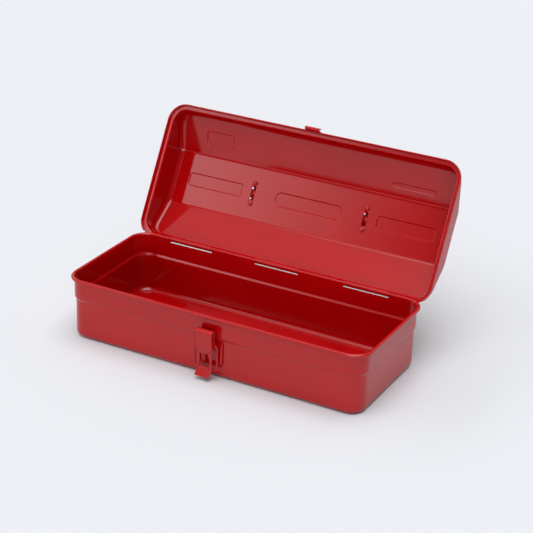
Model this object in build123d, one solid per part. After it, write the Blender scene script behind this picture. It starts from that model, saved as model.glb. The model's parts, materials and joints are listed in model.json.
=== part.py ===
from build123d import *
import os

# A camber-top steel toolbox, standing open: +X along its length, +Y to its rear, +Z up.
# The origin is the centre of the pan's flat underside. Lengths are millimetres, angles degrees.

# Pan, measured over its rolled rim
sheet = 0.8
rim_length = 355.0
rim_depth = 152.9
rim_height = 70.2
rim_corner = 22.0
bead_radius = 2.1
bead_turn = 285.0
step_drop = 25.1
step_inset = 1.7
step_height = 2.6
step_bend = 1.5
floor_bend = 6.5

# Lid, measured from the pan's rim when it is shut
lid_clearance = 0.4
lid_rise = 37.0
skirt_rise = 16.0
top_width = 61.5
facet_bend = 8.0
lid_corner = 19.0
lid_edge = 6.5
lip_drop = 3.2
lip_bend = 0.6
hem_height = 2.3
rear_lip_drop = 0.85
rear_trim = 4.0
open_angle = 119.0

# Hinges: each leaf curls round the pan's rear bead through a slit
hinge_length = 52.4
hinge_margin = 43.3
hinge_clearance = 0.1
hinge_turn = 225.0
slit_top = 0.2
slit_drop = 3.6
slit_side_room = 0.2
slit_end_room = 0.6
leaf_stand = 4.6
leaf_joggle = 3.4
leaf_tab = 7.9
leaf_bend = 1.6

# Handle and its two strap brackets
bracket_span = 140.0
bracket_width = 4.6
strap = 1.6
slot_room = 0.3
leg_tilt = 19.0
foot_length = 6.4
foot_bend = 2.0
foot_corner = 2.0
handle_pin = 4.6
handle_pin_bore = 3.6
handle_lift = 6.5
pin_fit = 0.08
pin_head = 1.5
pin_head_rim = 1.1
side_room = 0.6
arm_width = 12.0
barrel_width = 12.8
grip_sheet = 1.2
grip_reach = 36.0
grip_thick = 6.6
grip_bend = 16.0
grip_slit = 4.0

# Latch, placed by its distance out from the front wall and down from the rim
latch_sheet = 1.0
latch_width = 19.4
latch_pin = 2.1
latch_pin_bore = 1.5
latch_pin_recess = 0.3
pivot_out = 6.5
pivot_drop = 17.8
knuckle_room = 0.35
base_plate = 9.0
base_slope = 50.0
base_bend = 2.2
base_turn = 270.0
base_side_room = 0.6
lever_lean = 4.2
cap_turn = 105.0
cap_edge = 0.7
plate_length = 18.5
plate_lap = 3.0
plate_step = 1.6
plate_step_run = 1.8
shank_bend = 1.0
tab_angle = 45.0
tab_length = 9.2
tab_height = 5.1
tab_bend = 2.6
shank_width = 17.4
tab_corner = 2.6
window_width = 11.4
window_rim = 2.7
window_corner = 2.0
bail_wire = 1.0
bail_width = 26.8
bail_out = 4.4
bail_drop = 31.7
bail_bend = 4.0
bail_hook_bend = 2.2
bail_end = 2.0
ear_rim = 1.4

# Keeper on the lid's front, with a gutter that the bail's bar drops into
keeper_sheet = 0.9
keeper_width = 18.0
keeper_room = 0.05
keeper_tab = 8.0
keeper_shelf_rise = 2.6
keeper_bend = 1.7
keeper_lip = 3.0
keeper_corner = 2.0

# Plain pressed panels in the lid: length, width, and place along and across their facet
panel_rise = 0.9
panel_taper = 45.0
panel_draw = 0.32
panel_corner = 3.0
word_panel = (70.0, 16.0)
word_panel_margin = 23.5
middle_panel = (84.0, 17.0)
middle_panel_corner = 8.0
slope_panel = (36.0, 18.0)
slope_panel_place = (-122.0, 2.5)
bar_panel = (53.0, 7.0)
bar_panel_place = (120.0, 9.0)

# Places worked out from the sizes above
half_length = rim_length / 2
half_depth = rim_depth / 2
wall_inset = 2 * bead_radius - sheet
wall_front = wall_inset - half_depth
hinge_y = half_depth - bead_radius
hinge_z = rim_height - bead_radius
flange_under = rim_height + lid_clearance
flange_top = flange_under + sheet
lip_out = lid_clearance
hem_out = lip_out + 2 * sheet
lid_top = rim_height + lid_rise
lid_base = flange_top + 2 * sheet
knuckle_radius = bead_radius + hinge_clearance
hinge_pitch = half_length - hinge_margin - hinge_length / 2
word_panel_place = half_length - word_panel_margin - word_panel[0] / 2
pivot_height = rim_height - pivot_drop
bail_height = rim_height - bail_drop
roll_radius = latch_pin + latch_sheet
cap_radius = roll_radius + knuckle_room + latch_sheet
handle_axis = lid_top + handle_lift
hang_angle = open_angle - 90

# The lid and all that it carries are drawn shut, then swung open about the rear bead
lid_open = Pos(0, hinge_y, hinge_z) * Rot(X=-open_angle) * Pos(0, -hinge_y, -hinge_z)

# The latch is drawn in side view: first coordinate out from the front wall, second up
latch_side = Plane(origin=(0, wall_front, 0), x_dir=(0, -1, 0), z_dir=(-1, 0, 0))


def sheet_face(line, thickness, side):
    """Side view of a bent sheet: a smooth line given thickness on one side."""
    turn = 90 if side == Side.LEFT else -90
    face = Sketch()
    for edge in line.edges():
        start = edge @ 0
        pen = Line(start, start + (edge % 0).rotate(Axis.Z, turn) * thickness)
        face += sweep(pen, path=edge)
    return face


def across(plane, face, width, middle=0.0):
    """A side view carried across the box, width wide about x = middle."""
    return Pos(middle, 0, 0) * extrude(plane * face, width / 2, both=True)


def room(x, y, z):
    """A block between two limits on each axis, for cutting away."""
    size = (x[1] - x[0], y[1] - y[0], z[1] - z[0])
    return Pos((x[0] + x[1]) / 2, (y[0] + y[1]) / 2, (z[0] + z[1]) / 2) * Box(*size)


def round_the_rim(face, corner):
    """A section at the rear, drawn in Y and Z, swept once round the rim's outline."""
    rear = (0, half_depth)
    front = (0, -half_depth)
    end = [(-half_length, half_depth), (-half_length, -half_depth)]
    path = FilletPolyline(rear, *end, front, radius=corner)
    half = sweep(Plane.YZ * face, path=path.wire())
    return half + mirror(half, about=Plane.YZ)


def hinge_places():
    """Middles of the three hinges along X, by name."""
    return {"left": -hinge_pitch, "middle": 0.0, "right": hinge_pitch}


def pan():
    """Deep-drawn pan: floor, stepped wall and a rim rolled outward."""
    inner = half_depth - 2 * bead_radius
    floor_edge = half_depth - wall_inset - step_inset - floor_bend - sheet
    step_top = rim_height - step_drop + step_height / 2
    wall = FilletPolyline(
        (floor_edge, sheet),
        (inner - step_inset, sheet),
        (inner - step_inset, step_top - step_height),
        (inner, step_top),
        (inner, hinge_z),
        radius=[floor_bend - sheet, step_bend, step_bend + sheet],
    )
    curl = CenterArc((hinge_y, hinge_z), bead_radius, 180, -bead_turn)
    sides = round_the_rim(sheet_face(wall + curl, sheet, Side.RIGHT), rim_corner)
    inset = half_depth - floor_edge
    plate = RectangleRounded(rim_length - 2 * inset, rim_depth - 2 * inset, rim_corner - inset)
    body = sides + extrude(plate, sheet)
    for middle in hinge_places().values():
        reach = hinge_length / 2 + slit_end_room
        body -= room(
            (middle - reach, middle + reach),
            (inner - sheet, inner + sheet + slit_side_room),
            (hinge_z - slit_top - slit_drop, hinge_z - slit_top),
        )
    return body


def camber(inset):
    """The lid's form, closed below its rim, with every outer face moved in by inset."""
    wall = half_depth - wall_inset
    below = rim_height - lid_rise
    roof = Polyline(
        (-wall, below),
        (-wall, rim_height + skirt_rise),
        (-top_width / 2, lid_top),
        (top_width / 2, lid_top),
        (wall, rim_height + skirt_rise),
        (wall, below),
        close=True,
    )
    face = make_face(roof)
    bends = face.vertices().group_by(Axis.Y)[-1]
    face = fillet(bends, facet_bend)
    if inset:
        face = offset(face, -inset)
    trim = wall_inset + inset
    plan = RectangleRounded(rim_length - 2 * trim, rim_depth - 2 * trim, lid_corner - trim)
    form = across(Plane.YZ, face, rim_length) & Pos(0, 0, below) * extrude(plan, 2 * lid_rise + lid_edge)
    walls = form.faces().filter_by(lambda wall: abs(wall.normal_at().Z) < 0.01)
    edges = walls.edges().filter_by(lambda edge: abs((edge % 0.5).Z) < 0.9)
    edges = edges.filter_by(lambda edge: edge.center().Z > rim_height)
    return fillet(edges, lid_edge - inset)


def slope_plane():
    """The front slope's outer face, its origin half way up and its Y up the slope."""
    low = Vector(0, wall_front, rim_height + skirt_rise)
    high = Vector(0, -top_width / 2, lid_top)
    up = high - low
    return Plane((low + high) / 2, x_dir=(1, 0, 0), z_dir=Vector(1, 0, 0).cross(up))


def press_panel(shell, plane, size, place, corner):
    """Press a plain round-cornered panel outward, with the sheet kept near its thickness."""
    inner_size = (size[0] - 2 * panel_draw, size[1] - 2 * panel_draw)
    outer = Pos(*place) * RectangleRounded(*size, corner)
    inner = Pos(*place) * RectangleRounded(*inner_size, corner - panel_draw)
    raised = extrude(plane * outer, panel_rise, taper=panel_taper)
    hollow = extrude(plane.offset(-sheet) * inner, panel_rise, taper=panel_taper)
    return shell + raised - hollow


def lid_shell():
    """Lid in its shut place: camber skin, overlapping rim and hemmed lip."""
    shell = camber(0) - camber(sheet)
    shell -= room((-rim_length, rim_length), (-rim_depth, rim_depth), (0, lid_base))
    inner = half_depth - 2 * bead_radius
    lip = half_depth + lip_out
    hem = half_depth + hem_out
    lip_end = rim_height - lip_drop
    turn = lip_end + sheet
    rim = FilletPolyline(
        (inner, lid_base),
        (inner, flange_under),
        (lip, flange_under),
        (lip, turn),
        radius=[lip_bend + sheet, lip_bend],
    )
    hem_top = lip_end + hem_height
    fold = Polyline((lip + sheet, turn), (lip + sheet, hem_top), (hem, hem_top), (hem, turn))
    fold += ThreePointArc((hem, turn), (lip + sheet, lip_end), (lip, turn))
    fold += Line((lip, turn), (lip + sheet, turn))
    shell += round_the_rim(sheet_face(rim, sheet, Side.LEFT) + make_face(fold), lid_corner)
    shell -= room(
        (-rim_length, rim_length),
        (half_depth - rear_trim, rim_depth),
        (rim_height - 2 * lip_drop, rim_height - rear_lip_drop),
    )
    for middle in hinge_places().values():
        reach = hinge_length / 2 + slit_end_room
        shell -= room(
            (middle - reach, middle + reach),
            (half_depth - hinge_clearance, rim_depth),
            (rim_height - 2 * lip_drop, flange_top + sheet),
        )
    top = Plane((0, 0, lid_top))
    shell = press_panel(shell, top, middle_panel, (0, 0), middle_panel_corner)
    shell = press_panel(shell, slope_plane(), slope_panel, slope_panel_place, panel_corner)
    shell = press_panel(shell, slope_plane(), bar_panel, bar_panel_place, panel_corner)
    slot_length = 2 * (strap - bracket_points()[1].X)
    slot = RectangleRounded(bracket_width + 2 * slot_room, slot_length, slot_room)
    for side in (-1, 1):
        shell = press_panel(shell, top, word_panel, (side * word_panel_place, 0), panel_corner)
        shell -= Pos(side * bracket_span / 2, 0, lid_top - 2 * sheet) * extrude(slot, 3 * sheet)
    return shell


def hinge_leaf(middle):
    """Leaf in its shut place: curled under the pan's bead, joggled over the lid's rim."""
    stand = hinge_y + knuckle_radius
    skirt = half_depth - wall_inset
    curl = CenterArc((hinge_y, hinge_z), knuckle_radius, -hinge_turn, hinge_turn)
    rise = hinge_z + leaf_stand
    leaf = FilletPolyline(
        (stand, hinge_z),
        (stand, rise),
        (skirt, rise + leaf_joggle),
        (skirt, rise + leaf_joggle + leaf_tab),
        radius=[leaf_bend - sheet, leaf_bend],
    )
    return across(Plane.YZ, sheet_face(curl + leaf, sheet, Side.RIGHT), hinge_length, middle)


def bracket_points():
    """Side view of a bracket's front leg: end of its foot, heel, and shoulder where the arch begins."""
    under = lid_top - sheet - strap
    down = Vector(0, -1).rotate(Axis.Z, -leg_tilt)
    shoulder = Vector(0, handle_axis) - Vector(handle_pin + pin_fit, 0).rotate(Axis.Z, -leg_tilt)
    heel = shoulder + down * ((under - shoulder.Y) / down.Y)
    return heel - Vector(foot_length, 0), heel, shoulder


def handle_bracket(middle):
    """Strap arch over the handle's tube, its legs spread to feet turned out inside the lid."""
    foot, heel, shoulder = bracket_points()
    leg = FilletPolyline(foot, heel, shoulder, radius=foot_bend)
    arch = CenterArc((0, handle_axis), handle_pin + pin_fit, 180 - leg_tilt, 2 * leg_tilt - 180)
    half = sheet_face(leg, strap, Side.LEFT)
    face = half + mirror(half, about=Plane.YZ) + sheet_face(arch, strap, Side.LEFT)
    bracket = across(Plane.YZ, face, bracket_width, middle)
    uprights = bracket.edges().filter_by(Axis.Z)
    ends = uprights.filter_by(lambda edge: abs(edge.center().Y) > foot_length / 2 - heel.X)
    return fillet(ends, foot_corner)


def arm_middle():
    """Distance of each handle arm's middle from the box's middle."""
    return bracket_span / 2 - bracket_width / 2 - side_room - barrel_width / 2


def handle():
    """Rolled strap bail, drawn lying to the rear, its ends curled into barrels."""
    arm = arm_middle()
    path = FilletPolyline((-arm, 0), (-arm, grip_reach), (arm, grip_reach), (arm, 0), radius=grip_bend)
    hollow = SlotOverall(arm_width - 2 * grip_sheet, grip_thick - 2 * grip_sheet)
    seam = Pos(0, -grip_thick / 2) * Rectangle(grip_slit, grip_thick)
    section = SlotOverall(arm_width, grip_thick) - hollow - seam
    start = Plane((-arm, 0, 0), x_dir=(1, 0, 0), z_dir=(0, 1, 0))
    bail = sweep(start * Rot(Z=180) * section, path=path.wire())
    barrel = Rot(Y=90) * Cylinder(handle_pin + grip_sheet, barrel_width)
    bore = Rot(Y=90) * Cylinder(handle_pin, barrel_width)
    for side in (-1, 1):
        bail += Pos(side * arm, 0, 0) * barrel
        bail -= Pos(side * arm, 0, 0) * bore
    return bail


def handle_pivot(side):
    """Headed tube through the handle's barrel and a bracket, drawn along X about the handle's axis."""
    inner = arm_middle() - barrel_width / 2
    head = bracket_span / 2 + bracket_width / 2 + side_room
    upward = (Align.CENTER, Align.CENTER, Align.MIN)
    shank = Cylinder(handle_pin, head - inner, align=upward)
    button = Cylinder(handle_pin + pin_head_rim, pin_head, align=upward)
    button = fillet(button.edges().group_by(Axis.Z)[-1], pin_head / 2)
    bore = Cylinder(handle_pin_bore, head + pin_head - inner, align=upward)
    pin = Pos(0, 0, inner) * shank + Pos(0, 0, head) * button - Pos(0, 0, inner) * bore
    return Rot(Y=side * 90) * pin


def latch_base():
    """Base: a plate on the wall below its step, folded out and up, and curled round the lever's pin."""
    pivot = Vector(pivot_out, pivot_height)
    web = Vector(1, 0).rotate(Axis.Z, base_slope)
    touch = pivot + web.rotate(Axis.Z, -90) * roll_radius
    seat = latch_sheet - step_inset
    fold = touch.Y - (touch.X - seat) * (web.Y / web.X)
    plate = FilletPolyline((seat, fold - base_plate), (seat, fold), touch, radius=base_bend)
    curl = CenterArc(pivot, roll_radius, base_slope - 90, base_turn)
    width = latch_width - 2 * latch_sheet - 2 * base_side_room
    return across(latch_side, sheet_face(plate + curl, latch_sheet, Side.LEFT), width)


def latch_pin_rod():
    """Tube through the base's knuckle and the lever's two flanges."""
    length = latch_width - 2 * latch_pin_recess
    tube = Cylinder(latch_pin, length) - Cylinder(latch_pin_bore, length)
    return Pos(0, wall_front - pivot_out, pivot_height) * Rot(Y=90) * tube


def lever_points():
    """Side view of the lever's face, from where it leaves the rounded top to the tip of its tab."""
    down = Vector(0, -1).rotate(Axis.Z, -lever_lean)
    inward = Vector(-1, 0).rotate(Axis.Z, -lever_lean)
    top = Vector(pivot_out, pivot_height) - inward * cap_radius
    step = top + down * plate_length
    shank = step + inward * plate_step + down * plate_step_run
    tab = Vector(0, -tab_length).rotate(Axis.Z, tab_angle)
    turn = shank + down * ((tab_height - tab.Y - shank.Y) / down.Y)
    return top, step, shank, turn, turn + tab


def lever_outline():
    """Front view of the lever's shank and tab, with its window."""
    _, step, shank, turn, tip = lever_points()
    high = step.Y + plate_lap + latch_sheet
    low = tip.Y - latch_sheet
    outline = Pos(0, (high + low) / 2) * Rectangle(shank_width, high - low)
    outline = fillet(outline.vertices().group_by(Axis.Y)[0], tab_corner)
    window = RectangleRounded(window_width, shank.Y - turn.Y - 2 * window_rim, window_corner)
    return outline - Pos(0, (shank.Y + turn.Y) / 2) * window


def leaves(edge, spot):
    """Whether just one end of an edge lies at a spot of the latch's side view."""
    ends = [latch_side.to_local_coords(edge @ at) for at in (0, 1)]
    near = [(Vector(end.X, end.Y) - spot).length < pin_fit for end in ends]
    return near.count(True) == 1


def lever_cap():
    """Upper part of the lever: a rounded skin over the base's knuckle, with a flange at each side."""
    top, step, *_ = lever_points()
    pivot = Pos(pivot_out, pivot_height)
    eye = Pos(bail_out, bail_height)
    rim = eye * Circle(bail_wire + pin_fit + ear_rim)
    crown = pivot * Circle(cap_radius)
    side = make_hull(crown.edges() + Line(top, step).edges() + rim.edges())
    side -= eye * Circle(bail_wire + pin_fit)
    side -= pivot * Circle(latch_pin + pin_fit)
    cap = across(latch_side, side, latch_width)
    cap = fillet(cap.edges().filter_by(lambda edge: leaves(edge, top)), cap_edge)
    over = CenterArc((pivot_out, pivot_height), cap_radius, cap_turn - lever_lean, -cap_turn)
    skin = sheet_face(over + Line(top, step), latch_sheet, Side.RIGHT)
    hollow = pivot * Rectangle(8 * cap_radius, 4 * plate_length) - skin
    return cap - across(latch_side, hollow, latch_width - 2 * latch_sheet)


def latch_lever():
    """Lever: cap, windowed shank set back below it, and turned-out finger tab."""
    top, step, shank, turn, tip = lever_points()
    lap = step + (top - step).normalized() * plate_lap
    bends = [shank_bend, shank_bend + latch_sheet, tab_bend]
    line = FilletPolyline(lap, step, shank, turn, tip, radius=bends)
    lower = across(latch_side, sheet_face(line, latch_sheet, Side.RIGHT), shank_width)
    front = Plane((0, wall_front, 0), x_dir=(1, 0, 0), z_dir=(0, -1, 0))
    return lever_cap() + (lower & extrude(front * lever_outline(), 4 * pivot_out))


def bail_reach():
    """Length of the bail from its ends to its bar, so that the bar seats in the keeper."""
    return (keeper_gutter() - Vector(bail_out, bail_height)).length


def latch_bail():
    """Wire loop hanging behind the lever, its ends hooked into the lever's ears."""
    half = bail_width / 2
    end = latch_width / 2 - latch_sheet - bail_end
    low = bail_height - bail_reach()
    corners = [(-end, bail_height), (-half, bail_height), (-half, low)]
    corners += [(half, low), (half, bail_height), (end, bail_height)]
    bends = [bail_hook_bend, bail_bend, bail_bend, bail_hook_bend]
    hang = Plane((0, wall_front - bail_out, 0), x_dir=(1, 0, 0), z_dir=(0, -1, 0))
    path = hang * FilletPolyline(*corners, radius=bends)
    wire = path.wire()
    return sweep(Plane(wire @ 0, z_dir=wire % 0) * Circle(bail_wire), path=wire)


def keeper_gutter():
    """Middle of the keeper's gutter in the latch's side view, with the lid shut."""
    gutter = bail_wire + keeper_room
    out = wall_inset + hem_out + keeper_sheet + gutter
    return Vector(out, rim_height - lip_drop - keeper_sheet)


def latch_keeper():
    """Keeper in its shut place: a tab on the lid's skirt, stepped over the hem and hooked up."""
    middle = keeper_gutter()
    outer = bail_wire + keeper_room + keeper_sheet
    stem = middle.X - outer
    shelf = flange_top + sheet
    shoulder = shelf + keeper_shelf_rise
    hang = FilletPolyline(
        (0, shoulder + keeper_tab),
        (0, shoulder),
        (stem, shelf),
        (stem, middle.Y),
        radius=[keeper_bend, keeper_bend - keeper_sheet],
    )
    hook = CenterArc(middle, outer, 180, 180)
    lip = Line((middle.X + outer, middle.Y), (middle.X + outer, middle.Y + keeper_lip))
    keeper = across(latch_side, sheet_face(hang + hook + lip, keeper_sheet, Side.LEFT), keeper_width)
    corners = keeper.edges().filter_by(Axis.Y).group_by(Axis.Z)[-1]
    return fillet(corners, keeper_corner)


def handle_place():
    """Turns the handle, drawn flat to the rear about the origin, to hang from the open lid."""
    return lid_open * Pos(0, 0, handle_axis) * Rot(X=hang_angle)


def toolbox():
    """Every piece by name, in its place with the lid open."""
    pieces = {"body_pan": pan(), "lid_shell": lid_open * lid_shell()}
    for name, middle in hinge_places().items():
        pieces[f"hinge_leaf_{name}"] = lid_open * hinge_leaf(middle)
    for name, side in (("left", -1), ("right", 1)):
        pieces[f"handle_bracket_{name}"] = lid_open * handle_bracket(side * bracket_span / 2)
        pieces[f"handle_pivot_{name}"] = handle_place() * handle_pivot(side)
    pieces["handle_bail"] = handle_place() * handle()
    pieces["latch_keeper"] = lid_open * latch_keeper()
    pieces["latch_base"] = latch_base()
    pieces["latch_lever_pin"] = latch_pin_rod()
    pieces["latch_lever"] = latch_lever()
    pieces["latch_bail"] = latch_bail()
    return pieces


os.makedirs("parts", exist_ok=True)
for piece_name, piece in toolbox().items():
    export_step(piece, f"parts/{piece_name}.step")
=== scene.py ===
# %% [markdown]
# # A red enamelled toolbox, standing open
#
# The shapes of this toolbox come from its CAD frame: a drawn pan with a rolled rim, a camber lid on three
# curled hinges, a drop handle behind the lid and an over-centre wire latch in front. This lesson adds what
# the CAD has no room for: glossy stoved enamel, the small marks of the press shop, a pale studio and a
# camera. Lengths are metres, as everywhere in Blender, unless a comment says millimetres.

# %% Load the frame
import json
import math

import bpy
import bmesh
from mathutils import Matrix, Vector


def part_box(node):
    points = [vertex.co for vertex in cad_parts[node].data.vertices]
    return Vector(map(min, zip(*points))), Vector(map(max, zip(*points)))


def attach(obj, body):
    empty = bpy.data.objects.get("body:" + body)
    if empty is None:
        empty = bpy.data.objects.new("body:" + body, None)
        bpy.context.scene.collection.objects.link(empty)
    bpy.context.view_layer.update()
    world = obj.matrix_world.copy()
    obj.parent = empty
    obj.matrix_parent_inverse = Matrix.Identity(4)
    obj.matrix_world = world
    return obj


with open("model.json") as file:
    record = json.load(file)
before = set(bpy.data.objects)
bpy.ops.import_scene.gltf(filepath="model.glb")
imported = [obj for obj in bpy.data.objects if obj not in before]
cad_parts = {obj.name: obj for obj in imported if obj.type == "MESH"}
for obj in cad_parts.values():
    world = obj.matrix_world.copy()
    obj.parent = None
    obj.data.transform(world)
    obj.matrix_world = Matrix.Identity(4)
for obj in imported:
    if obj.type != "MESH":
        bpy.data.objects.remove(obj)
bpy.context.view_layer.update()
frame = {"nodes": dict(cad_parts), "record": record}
nodes = frame["nodes"]

# %% [markdown]
# ## The camera
#
# The picture was taken from the box's right front corner with a long lens, so its edges hardly converge.
# A camera can be aimed with a Track To constraint, but this one also leans a little to one side. So its
# three axes are worked out from a heading, a dip and a roll, and put into its matrix as columns.

# %% Camera
picture_side = 533
sensor_width = 36.0
focal_pixels = 1646.964
camera_place = Vector((0.749703, -1.378103, 0.814806))
heading = math.radians(-27.700)
dip = math.radians(24.585)
roll = math.radians(1.974)

level = Vector((math.cos(heading), -math.sin(heading), 0))
onward = Vector((math.sin(heading), math.cos(heading), 0))
ahead = onward * math.cos(dip) - Vector((0, 0, math.sin(dip)))
upright = level.cross(ahead)
right = level * math.cos(roll) + upright * math.sin(roll)
above = upright * math.cos(roll) - level * math.sin(roll)
turned = Matrix((right, above, -ahead)).transposed().to_4x4()

lens = bpy.data.cameras.new("picture_lens")
lens.sensor_width = sensor_width
lens.lens = focal_pixels * sensor_width / picture_side
camera = bpy.data.objects.new("picture_camera", lens)
camera.matrix_world = Matrix.Translation(camera_place) @ turned
bpy.context.collection.objects.link(camera)
scene = bpy.context.scene
scene.camera = camera
scene.view_settings.view_transform = "Standard"
print("lens:", round(lens.lens, 2), "mm")

# %% [markdown]
# ## Writing finishes as sums
#
# A finish is a graph of shader nodes. Placing nodes one by one hides the idea behind them, so a small class
# wraps one socket and lets Python's operators add the Math nodes: `0.1 + 0.05 * grain` is two nodes. Any
# other node comes from its method `node`, with the settings first and then the sockets.

# %% A socket that can be calculated with
def pick(sockets, key):
    """A socket by its number, its identifier or its name."""
    if isinstance(key, int):
        return sockets[key]
    for socket in sockets:
        if socket.identifier == key:
            return socket
    return sockets[key]


class Flow:
    """One socket in a finish; arithmetic on it adds Math nodes to that finish."""

    def __init__(self, tree, socket=None):
        self.tree = tree
        self.socket = socket

    def node(self, kind, settings, inputs, out=0):
        """Add a node: its settings first, then values or links for its sockets."""
        made = self.tree.nodes.new(kind)
        for name, value in settings.items():
            setattr(made, name, value)
        for key, value in inputs.items():
            target = pick(made.inputs, key)
            if isinstance(value, Flow):
                self.tree.links.new(value.socket, target)
            else:
                target.default_value = value
        return Flow(self.tree, pick(made.outputs, out))

    def math(self, operation, *values):
        return self.node("ShaderNodeMath", {"operation": operation}, dict(enumerate(values)))

    def __add__(self, other):
        return self.math("ADD", self, other)

    __radd__ = __add__

    def __sub__(self, other):
        return self.math("SUBTRACT", self, other)

    def __rsub__(self, other):
        return self.math("SUBTRACT", other, self)

    def __mul__(self, other):
        return self.math("MULTIPLY", self, other)

    __rmul__ = __mul__

    def dot(self, other):
        """How far this direction points along another one."""
        return self.node("ShaderNodeVectorMath", {"operation": "DOT_PRODUCT"}, {0: self, 1: other}, "Value")

    def between(self, low, high):
        """This value read from 0 at low to 1 at high, with soft ends."""
        limits = {"Value": self, "From Min": low, "From Max": high}
        return self.node("ShaderNodeMapRange", {"interpolation_type": "SMOOTHSTEP"}, limits)

    def blend(self, first, second):
        """A colour that goes from first to second as this value goes from 0 to 1."""
        sockets = {"Factor_Float": self, "A_Color": first, "B_Color": second}
        return self.node("ShaderNodeMix", {"data_type": "RGBA"}, sockets, "Result_Color")


print("sockets ready")

# %% Starting and ending a finish
def new_finish(name):
    """An empty finish and the coordinates of the piece that wears it."""
    finish = bpy.data.materials.new(name)
    finish.use_nodes = True
    finish.node_tree.nodes.clear()
    start = Flow(finish.node_tree)
    return finish, start.node("ShaderNodeTexCoord", {}, {}, "Object")


def end_with(shader, output):
    """Send a shader to a new output node of its graph."""
    made = shader.tree.nodes.new(output)
    shader.tree.links.new(shader.socket, made.inputs["Surface"])


def noise(place, scale, detail=2.0):
    """Soft noise with about `scale` lumps to the metre."""
    sockets = {"Vector": place, "Scale": scale, "Detail": detail}
    return place.node("ShaderNodeTexNoise", {}, sockets, "Fac")


print("finish tools ready")

# %% [markdown]
# ## Stoved enamel
#
# The box is sprayed with one thick coat of red and baked. What makes it look like paint and not plastic is
# small: the film dries with orange peel a few millimetres wide, the sheet beneath is never quite flat, the
# coat draws thin over sharp folds, and a few specks of dust are baked in. A picture of paint could carry
# this, but a calculated one has no seams and fits every piece.

# %% Enamel values
millimetre = 0.001
deep_red = (0.385, 0.0008, 0.0016)
thin_red = (0.50, 0.0050, 0.0050, 1.0)
mottle_size = 26.0
mottle_range = (0.3, 0.7)
mottle_dark = 0.93
haze_size, haze_detail = 60.0, 3.0
haze_dull = 0.05
speck_dull = 0.10
edge_thin = 0.75
edge_turn = (0.02, 0.25)
edge_samples = 6
paint_index = 1.5
pattern_shift = Vector((1.0, 0.7, -1.0))
# Bumps: sizes in lumps to the metre, heights in millimetres.
bump_detail = 1.0
peel_size, peel_height = 420.0, 0.0030
dent_size, dent_height = 11.0, 0.12
speck_size, speck_height, speck_reach = 95.0, 0.012, 0.045
print("deep red:", deep_red)

# %% Enamel
def folded_edge(place, rounded):
    """1 on a sharp fold of the sheet, 0 on the flat, from how far a rounded normal turns."""
    true = place.node("ShaderNodeNewGeometry", {}, {}, "Normal")
    return (1.0 - rounded.dot(true)).between(*edge_turn)


def stoved_enamel(name, gloss, edge_radius, seed):
    """Red gloss paint, thin where it draws off an edge; edge_radius is in millimetres."""
    finish, raw = new_finish(name)
    shift = {0: raw, 1: seed * pattern_shift}
    place = raw.node("ShaderNodeVectorMath", {"operation": "ADD"}, shift)

    mottle = noise(place, mottle_size).between(*mottle_range)
    darker = [mottle_dark * part for part in deep_red]
    full = mottle.blend((*deep_red, 1.0), (*darker, 1.0))
    rounded = raw.node("ShaderNodeBevel", {"samples": edge_samples}, {"Radius": edge_radius * millimetre})
    colour = (edge_thin * folded_edge(raw, rounded)).blend(full, thin_red)

    cells = place.node("ShaderNodeTexVoronoi", {}, {"Vector": place, "Scale": speck_size}, "Distance")
    speck = 1.0 - cells.between(0.0, speck_reach)
    peel = noise(place, peel_size, bump_detail)
    dents = noise(place, dent_size, bump_detail)
    height = peel_height * peel + dent_height * dents + speck_height * speck
    relief = {"Height": height, "Distance": millimetre, "Strength": 1.0, "Normal": rounded}
    bump = raw.node("ShaderNodeBump", {}, relief)

    rough = gloss + haze_dull * noise(place, haze_size, haze_detail) + speck_dull * speck
    sockets = {"Base Color": colour, "Roughness": rough, "Normal": bump, "IOR": paint_index}
    end_with(raw.node("ShaderNodeBsdfPrincipled", {}, sockets), "ShaderNodeOutputMaterial")
    return finish


# Each coat: its lowest roughness, its edge radius in millimetres, and a shift of its pattern.
coats = {
    "pan_enamel": (0.045, 0.5, 0.0),
    "lid_enamel": (0.045, 0.5, 3.1),
    "red_enamel": (0.085, 0.8, 5.7),
    "wire_enamel": (0.08, 0.5, 8.3),
}
finishes = {name: stoved_enamel(name, *coat) for name, coat in coats.items()}
print("enamels:", sorted(finishes))

# %% [markdown]
# ## Dressing the frame
#
# The frame's record already says which finish each node takes, so the record decides, and no list of
# names is kept here. The nodes arrive with their own smooth normals, so only their material changes.

# %% Dress every node
for entry in frame["record"]["subparts"]:
    piece = nodes[entry["node"]]
    piece.data.materials.clear()
    piece.data.materials.append(finishes[entry["material_slot"]])
    print(entry["node"], "wears", entry["material_slot"])

# %% [markdown]
# ## Pieces on the lid
#
# The next two steps add small marks to the lid. They are easiest to place on the shut lid, where its top is
# level, so one matrix swings them open to where the frame has the lid. Each step's marks become one object
# in red enamel, which rides on the lid.

# %% Tools for the lid
hinge = next(joint for joint in frame["record"]["behaviour"]["joints"] if joint["name"] == "lid_hinge")
hinge_place = Vector(hinge["pos_m"])
swing = Matrix.Rotation(-math.radians(hinge["range_deg"][1]), 4, "X")
open_lid = Matrix.Translation(hinge_place) @ swing @ Matrix.Translation(-hinge_place)


def middle_and_length(name):
    """Where the middle of a node lies along the box, and how long the node is."""
    low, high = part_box(name)
    return (low[0] + high[0]) / 2, high[0] - low[0]


def add_to_lid(name, built):
    """Turn a built shape into a smooth red object that rides on the lid."""
    mesh = bpy.data.meshes.new(name)
    built.to_mesh(mesh)
    built.free()
    for face in mesh.polygons:
        face.use_smooth = True
    mesh.materials.append(finishes["red_enamel"])
    piece = bpy.data.objects.new(name, mesh)
    bpy.context.collection.objects.link(piece)
    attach(piece, "lid")
    print(name, "has", len(mesh.polygons), "faces")


print("lid swings", hinge["range_deg"][1], "degrees")

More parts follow.
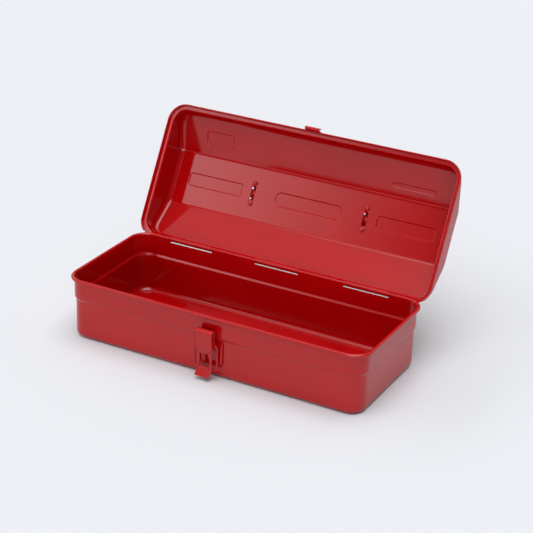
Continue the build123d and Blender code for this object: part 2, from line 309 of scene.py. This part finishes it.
# %% [markdown]
# ## Spot welds
#
# The three hinge leaves and the latch's keeper are spot-welded to the lid. Each weld leaves a round mark: a
# low ring where the electrode pushed the steel aside, with paint over it. A bump in the finish would vanish
# at the silhouette, so each mark is a small turned mesh.

# %% Weld marks
# Radius and height of each ring of a mark, in millimetres, from its middle out.
mark_profile = ((1.4, 0.03), (1.9, 0.13), (2.3, 0.17), (2.7, 0.12), (3.0, 0.0), (3.0, -0.05))
mark_segments = 32
# The sheet's face and the marks' height on the shut lid, in millimetres, and shares of the node's length.
on_leaf = (73.85, 81.0, (-0.36, 0.0, 0.36))
on_keeper = (-73.95, 79.6, (-0.28, 0.28))
welds = {
    "hinge_leaf_left": on_leaf,
    "hinge_leaf_middle": on_leaf,
    "hinge_leaf_right": on_leaf,
    "latch_keeper": on_keeper,
}


def add_mark(built, x, y, z):
    """One weld mark on the shut lid, at x in metres and y, z in millimetres, turned outward along Y."""
    outward = math.copysign(1.0, y)
    rings = []
    for radius, height in mark_profile:
        ring = []
        for step in range(mark_segments):
            turn = outward * 2 * math.pi * step / mark_segments
            side = x + radius * math.sin(turn) * millimetre
            out = (y + outward * height) * millimetre
            up = (z + radius * math.cos(turn)) * millimetre
            ring.append(built.verts.new(open_lid @ Vector((side, out, up))))
        rings.append(ring)
    built.faces.new(rings[0])
    for inner, outer in zip(rings, rings[1:]):
        for step in range(mark_segments):
            after = (step + 1) % mark_segments
            built.faces.new((inner[step], outer[step], outer[after], inner[after]))
    built.faces.new(rings[-1][::-1])


marks = bmesh.new()
for node_name, (face_place, mark_height, shares) in welds.items():
    middle, length = middle_and_length(node_name)
    for share in shares:
        add_mark(marks, middle + share * length, face_place, mark_height)
bmesh.ops.recalc_face_normals(marks, faces=marks.faces)
add_to_lid("weld_marks", marks)

# %% [markdown]
# ## Hammered feet
#
# Each handle bracket has two feet, which were hammered over inside the lid. The blows left them domed, and
# in gloss paint a dome catches a highlight that a flat strap does not. A low ellipsoid, half sunk in each
# foot, gives that.

# %% Foot domes
# Distance from the lid's middle line, height of the feet's face, and half sizes, in millimetres.
dome_place = 12.0
dome_face = 104.8
dome_radii = (2.25, 2.4, 1.1)
dome_segments, dome_rings = 32, 16

domes = bmesh.new()
flatten = Matrix.Diagonal([radius * millimetre for radius in dome_radii] + [1.0])
for node_name in ("handle_bracket_left", "handle_bracket_right"):
    middle, _ = middle_and_length(node_name)
    for side in (-1, 1):
        spot = Vector((middle, side * dome_place * millimetre, dome_face * millimetre))
        settled = open_lid @ Matrix.Translation(spot) @ flatten
        bmesh.ops.create_uvsphere(
            domes, u_segments=dome_segments, v_segments=dome_rings, radius=1.0, matrix=settled
        )
add_to_lid("foot_domes", domes)

# %% [markdown]
# ## Floor
#
# The box stands on a wide sheet of pale paper, and the camera looks down on it, so the paper fills the
# whole background. The paper takes the box's shadow, so it stays a real lit surface.

# %% Paper floor
floor_reach = 6.0
floor_drop = 0.0002
paper_white = (0.606, 0.612, 0.623, 1.0)
paper_rough = 0.9
paper_shine = 0.1
fibre_size = 900.0
fibre_height = 0.01

paper, paper_place = new_finish("paper")
fibres = {"Height": fibre_height * noise(paper_place, fibre_size), "Distance": millimetre}
grain = paper_place.node("ShaderNodeBump", {}, fibres)
dull = {"Roughness": paper_rough, "Specular IOR Level": paper_shine}
sockets = {"Base Color": paper_white, "Normal": grain, **dull}
end_with(paper_place.node("ShaderNodeBsdfPrincipled", {}, sockets), "ShaderNodeOutputMaterial")

sheet = bpy.data.meshes.new("paper_floor")
corner_signs = ((-1, -1), (1, -1), (1, 1), (-1, 1))
corners = [(x * floor_reach, y * floor_reach, -floor_drop) for x, y in corner_signs]
sheet.from_pydata(corners, [], [(0, 1, 2, 3)])
sheet.materials.append(paper)
floor = bpy.data.objects.new("paper_floor", sheet)
bpy.context.collection.objects.link(floor)
print("floor:", 2 * floor_reach, "m across")

# %% [markdown]
# ## Studio light
#
# Gloss paint shows what stands round it, so the room matters as much as the light. A dim room with a pale
# ceiling and back wall holds a long softbox at the left, a broad light above the front, another straight
# above and a pale strip low in front. Area lamps could do this, but the world has no edges to hide and
# lights every piece alike. Each light is a soft-edged patch of directions. Seen straight by the camera, the
# world is as pale as the paper.

# %% Directions in the room
world = bpy.data.worlds.new("studio_room")
scene.world = world
world.use_nodes = True
world.node_tree.nodes.clear()
room = Flow(world.node_tree)
direction = room.node("ShaderNodeTexCoord", {}, {}, "Generated")
rightward, backward, upward = [
    room.node("ShaderNodeSeparateXYZ", {}, {"Vector": direction}, axis) for axis in "XYZ"
]
heading_angle = room.math("ARCTAN2", rightward, -1.0 * backward)
height_angle = room.math("ARCSINE", upward)


def rise_and_fall(angle, limits):
    """0 outside and 1 inside four limits in degrees: start and end of the rise, then of the fall."""
    begin, full, fade, end = [math.radians(limit) for limit in limits]
    return angle.between(begin, full) * (1.0 - angle.between(fade, end))


def softbox(strength, across, up):
    """A soft-edged patch of light; heading 0 is in front and 90 to the right, height 90 overhead."""
    return strength * rise_and_fall(heading_angle, across) * rise_and_fall(height_angle, up)


def round_light(strength, axis, faint, full):
    """A soft-edged disc of light round an axis, from faint to full as a direction nears it."""
    return strength * direction.dot(axis).between(faint, full)


print("directions ready")

# %% Lights in the room
dim_room = 0.10
ceiling_level = 0.70
ceiling_height = (math.radians(52), math.radians(60))
back_wall_level = 0.50
back_wall_turn = (0.10, 0.65)
brightest = 4.5
light_tint = (0.985, 1.0, 1.03)
no_light = (0.0, 0.0, 0.0, 1.0)
sky_white = (0.84, 0.865, 0.905, 1.0)

ceiling = ceiling_level * height_angle.between(*ceiling_height)
back_wall = back_wall_level * backward.between(*back_wall_turn)
overhead = round_light(2.6, (0.04, -0.46, 0.887), 0.84, 0.97)
zenith = round_light(3.5, (0.10, 0.03, 0.994), 0.90, 0.97)
left_box = softbox(2.7, (-135, -100, -36, -21), (16, 26, 33, 43))
front_strip = softbox(4.0, (-10, 10, 50, 75), (-30, -20, 8, 18))
light = dim_room + overhead + ceiling + zenith + left_box + front_strip + back_wall

full_light = (*[part * brightest for part in light_tint], 1.0)
walls = (light * (1.0 / brightest)).blend(no_light, full_light)
seen = room.node("ShaderNodeLightPath", {}, {}, "Is Camera Ray")
glow = room.node("ShaderNodeBackground", {}, {"Color": seen.blend(walls, sky_white), "Strength": 1.0})
end_with(glow, "ShaderNodeOutputWorld")
print("world ready")
